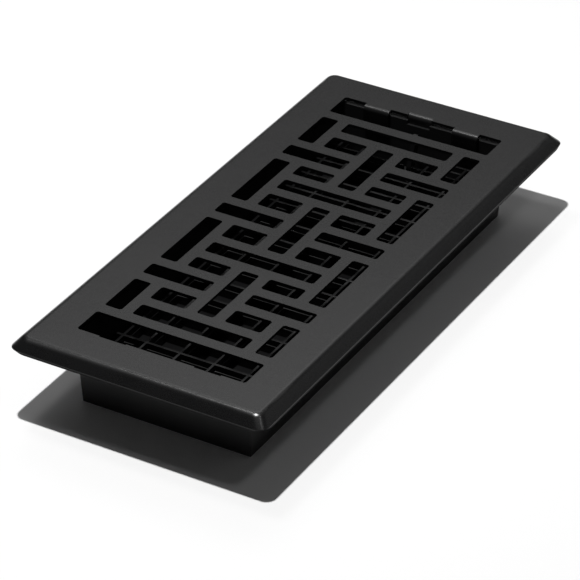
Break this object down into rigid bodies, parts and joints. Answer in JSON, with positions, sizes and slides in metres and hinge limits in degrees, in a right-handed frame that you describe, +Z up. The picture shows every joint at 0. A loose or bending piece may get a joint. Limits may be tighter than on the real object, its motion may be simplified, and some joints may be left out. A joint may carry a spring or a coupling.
{
  "type": "floor register",
  "caption": "Drop-in floor register: black steel face with a lattice of slots and a flared edge, over a plastic box with linked louvers and a thumb lever.",
  "frame": {"origin": "centre of the foot of the damper box, on the surface it stands on", "axes": "+X across the width, +Y along the length towards the end with the thumb lever, +Z up through the face"},
  "size_m": [0.1364, 0.2964, 0.042],
  "materials": {
    "steel_sheet": "satin black powder coat with a faint texture",
    "box_plastic": "moulded black plastic, fine matt texture",
    "louver_plastic": "moulded black plastic, smooth matt"
  },
  "bodies": {
    "frame": {"face_plate": "steel_sheet", "damper_box": "box_plastic", "louver_grid": "box_plastic"},
    "louver_01": {"louver_01": "louver_plastic"},
    "louver_02": {"louver_02": "louver_plastic"},
    "louver_03": {"louver_03": "louver_plastic"},
    "louver_04": {"louver_04": "louver_plastic"},
    "louver_05": {"louver_05": "louver_plastic"},
    "louver_06": {"louver_06": "louver_plastic"},
    "louver_07": {"louver_07": "louver_plastic"},
    "louver_08": {"louver_08": "louver_plastic"},
    "louver_09": {"louver_09": "louver_plastic"},
    "louver_10": {"louver_10": "louver_plastic"},
    "louver_11": {"louver_11": "louver_plastic"},
    "louver_12": {"louver_12": "louver_plastic"},
    "louver_13": {"louver_13": "louver_plastic"},
    "lever_louver": {"lever_louver": "louver_plastic"},
    "link_bar": {"link_bar": "louver_plastic"}
  },
  "joints": [
    {"name": "louver_01_hinge", "type": "hinge", "parent": "frame", "child": "louver_01", "pos_m": [0, -0.0936, 0.0129], "axis": [1, 0, 0], "range_deg": [0, 65]},
    {"name": "louver_02_hinge", "type": "hinge", "parent": "frame", "child": "louver_02", "pos_m": [0, -0.078, 0.0129], "axis": [1, 0, 0], "range_deg": [0, 65]},
    {"name": "louver_03_hinge", "type": "hinge", "parent": "frame", "child": "louver_03", "pos_m": [0, -0.0624, 0.0129], "axis": [1, 0, 0], "range_deg": [0, 65]},
    {"name": "louver_04_hinge", "type": "hinge", "parent": "frame", "child": "louver_04", "pos_m": [0, -0.0468, 0.0129], "axis": [1, 0, 0], "range_deg": [0, 65]},
    {"name": "louver_05_hinge", "type": "hinge", "parent": "frame", "child": "louver_05", "pos_m": [0, -0.0312, 0.0129], "axis": [1, 0, 0], "range_deg": [0, 65]},
    {"name": "louver_06_hinge", "type": "hinge", "parent": "frame", "child": "louver_06", "pos_m": [0, -0.0156, 0.0129], "axis": [1, 0, 0], "range_deg": [0, 65]},
    {"name": "louver_07_hinge", "type": "hinge", "parent": "frame", "child": "louver_07", "pos_m": [0, 0, 0.0129], "axis": [1, 0, 0], "range_deg": [0, 65]},
    {"name": "louver_08_hinge", "type": "hinge", "parent": "frame", "child": "louver_08", "pos_m": [0, 0.0156, 0.0129], "axis": [1, 0, 0], "range_deg": [0, 65]},
    {"name": "louver_09_hinge", "type": "hinge", "parent": "frame", "child": "louver_09", "pos_m": [0, 0.0312, 0.0129], "axis": [1, 0, 0], "range_deg": [0, 65]},
    {"name": "louver_10_hinge", "type": "hinge", "parent": "frame", "child": "louver_10", "pos_m": [0, 0.0468, 0.0129], "axis": [1, 0, 0], "range_deg": [0, 65]},
    {"name": "louver_11_hinge", "type": "hinge", "parent": "frame", "child": "louver_11", "pos_m": [0, 0.0624, 0.0129], "axis": [1, 0, 0], "range_deg": [0, 65]},
    {"name": "louver_12_hinge", "type": "hinge", "parent": "frame", "child": "louver_12", "pos_m": [0, 0.078, 0.0129], "axis": [1, 0, 0], "range_deg": [0, 65]},
    {"name": "louver_13_hinge", "type": "hinge", "parent": "frame", "child": "louver_13", "pos_m": [0, 0.0936, 0.0129], "axis": [1, 0, 0], "range_deg": [0, 65]},
    {"name": "lever_louver_hinge", "type": "hinge", "parent": "frame", "child": "lever_louver", "pos_m": [0, 0.1092, 0.0129], "axis": [1, 0, 0], "range_deg": [0, 65]},
    {"name": "link_bar_hinge", "type": "hinge", "parent": "lever_louver", "child": "link_bar", "pos_m": [0, 0.1012, 0.0089], "axis": [1, 0, 0], "range_deg": [-65, 0]}
  ],
  "couplings": [
    {"joint": "louver_01_hinge", "follows": "lever_louver_hinge", "ratio": 1},
    {"joint": "louver_02_hinge", "follows": "lever_louver_hinge", "ratio": 1},
    {"joint": "louver_03_hinge", "follows": "lever_louver_hinge", "ratio": 1},
    {"joint": "louver_04_hinge", "follows": "lever_louver_hinge", "ratio": 1},
    {"joint": "louver_05_hinge", "follows": "lever_louver_hinge", "ratio": 1},
    {"joint": "louver_06_hinge", "follows": "lever_louver_hinge", "ratio": 1},
    {"joint": "louver_07_hinge", "follows": "lever_louver_hinge", "ratio": 1},
    {"joint": "louver_08_hinge", "follows": "lever_louver_hinge", "ratio": 1},
    {"joint": "louver_09_hinge", "follows": "lever_louver_hinge", "ratio": 1},
    {"joint": "louver_10_hinge", "follows": "lever_louver_hinge", "ratio": 1},
    {"joint": "louver_11_hinge", "follows": "lever_louver_hinge", "ratio": 1},
    {"joint": "louver_12_hinge", "follows": "lever_louver_hinge", "ratio": 1},
    {"joint": "louver_13_hinge", "follows": "lever_louver_hinge", "ratio": 1},
    {"joint": "link_bar_hinge", "follows": "lever_louver_hinge", "ratio": -1}
  ]
}
